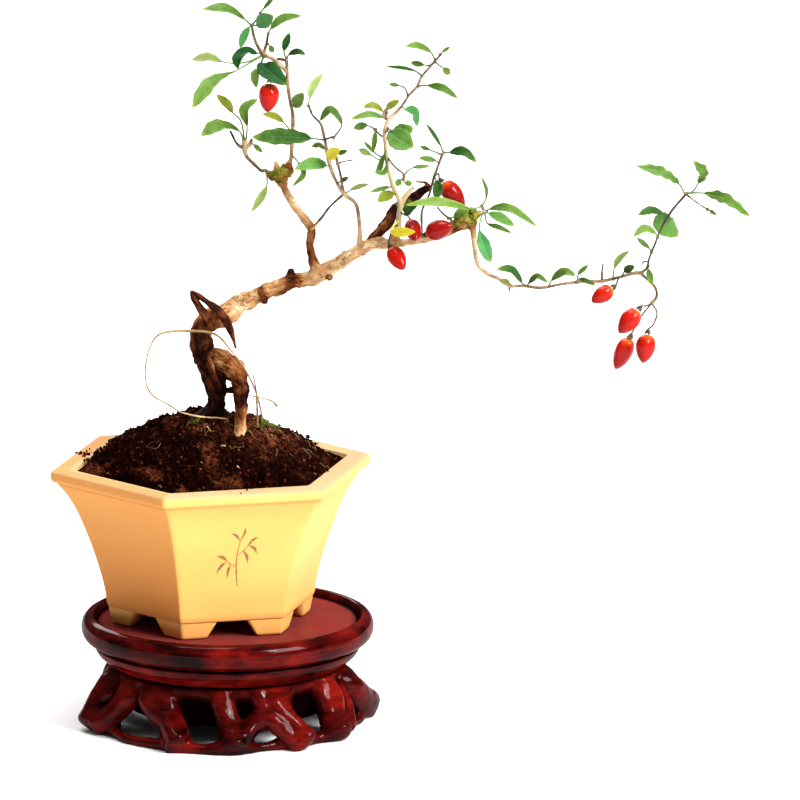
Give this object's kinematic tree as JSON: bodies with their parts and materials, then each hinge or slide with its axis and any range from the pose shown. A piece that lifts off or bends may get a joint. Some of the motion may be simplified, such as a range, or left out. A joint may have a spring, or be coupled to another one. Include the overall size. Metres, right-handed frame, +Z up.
{
  "type": "goji berry bonsai",
  "caption": "Goji berry bonsai with a leaning trunk and a long trailing fruiting branch, growing in a flared hexagonal ceramic pot on a round carved wooden stand.",
  "frame": {"origin": "middle of the bottom face of the whole part's bounding box, on the surface that the stand's carved feet rest on", "axes": "+Z up from the resting surface, -Y towards the viewer of the front, +X along the long trailing branch, to the viewer's right"},
  "size_m": [0.3476, 0.1586, 0.3703],
  "materials": {
    "stand_wood": "glossy dark red lacquer over carved wood",
    "pot_clay": "fine matt yellow clay, unglazed",
    "screen_mesh": "dull moulded plastic mesh",
    "soil": "moist crumbly dark red-brown soil",
    "bark": "rough flaking bark, dark at the foot and pale tan on the branches",
    "dry_root": "dry straw-coloured root skin",
    "foliage": "satin green leaves on thin brown-green stems",
    "berry_skin": "smooth glossy red fruit skin"
  },
  "bodies": {
    "root": {"stand_plate": "stand_wood", "stand_roots": "stand_wood", "pot": "pot_clay", "drain_screen": "screen_mesh", "soil": "soil", "trunk": "bark", "root_strand": "dry_root", "dry_sprig": "dry_root", "leafy_twig_crown_left": "foliage", "leafy_stem_crown_top": "foliage", "leafy_stem_middle": "foliage", "leafy_stem_right": "foliage", "leafy_twig_right": "foliage", "leafy_stem_cascade": "foliage", "leafy_node_right": "foliage", "leafy_spur_crown": "foliage", "berry_crown": "berry_skin", "berry_under_branch": "berry_skin", "berry_heart_left": "berry_skin", "berry_heart_top": "berry_skin", "berry_heart_front": "berry_skin", "berry_cascade": "berry_skin", "berry_cluster_upper": "berry_skin", "berry_cluster_left": "berry_skin", "berry_cluster_right": "berry_skin"}
  },
  "joints": []
}
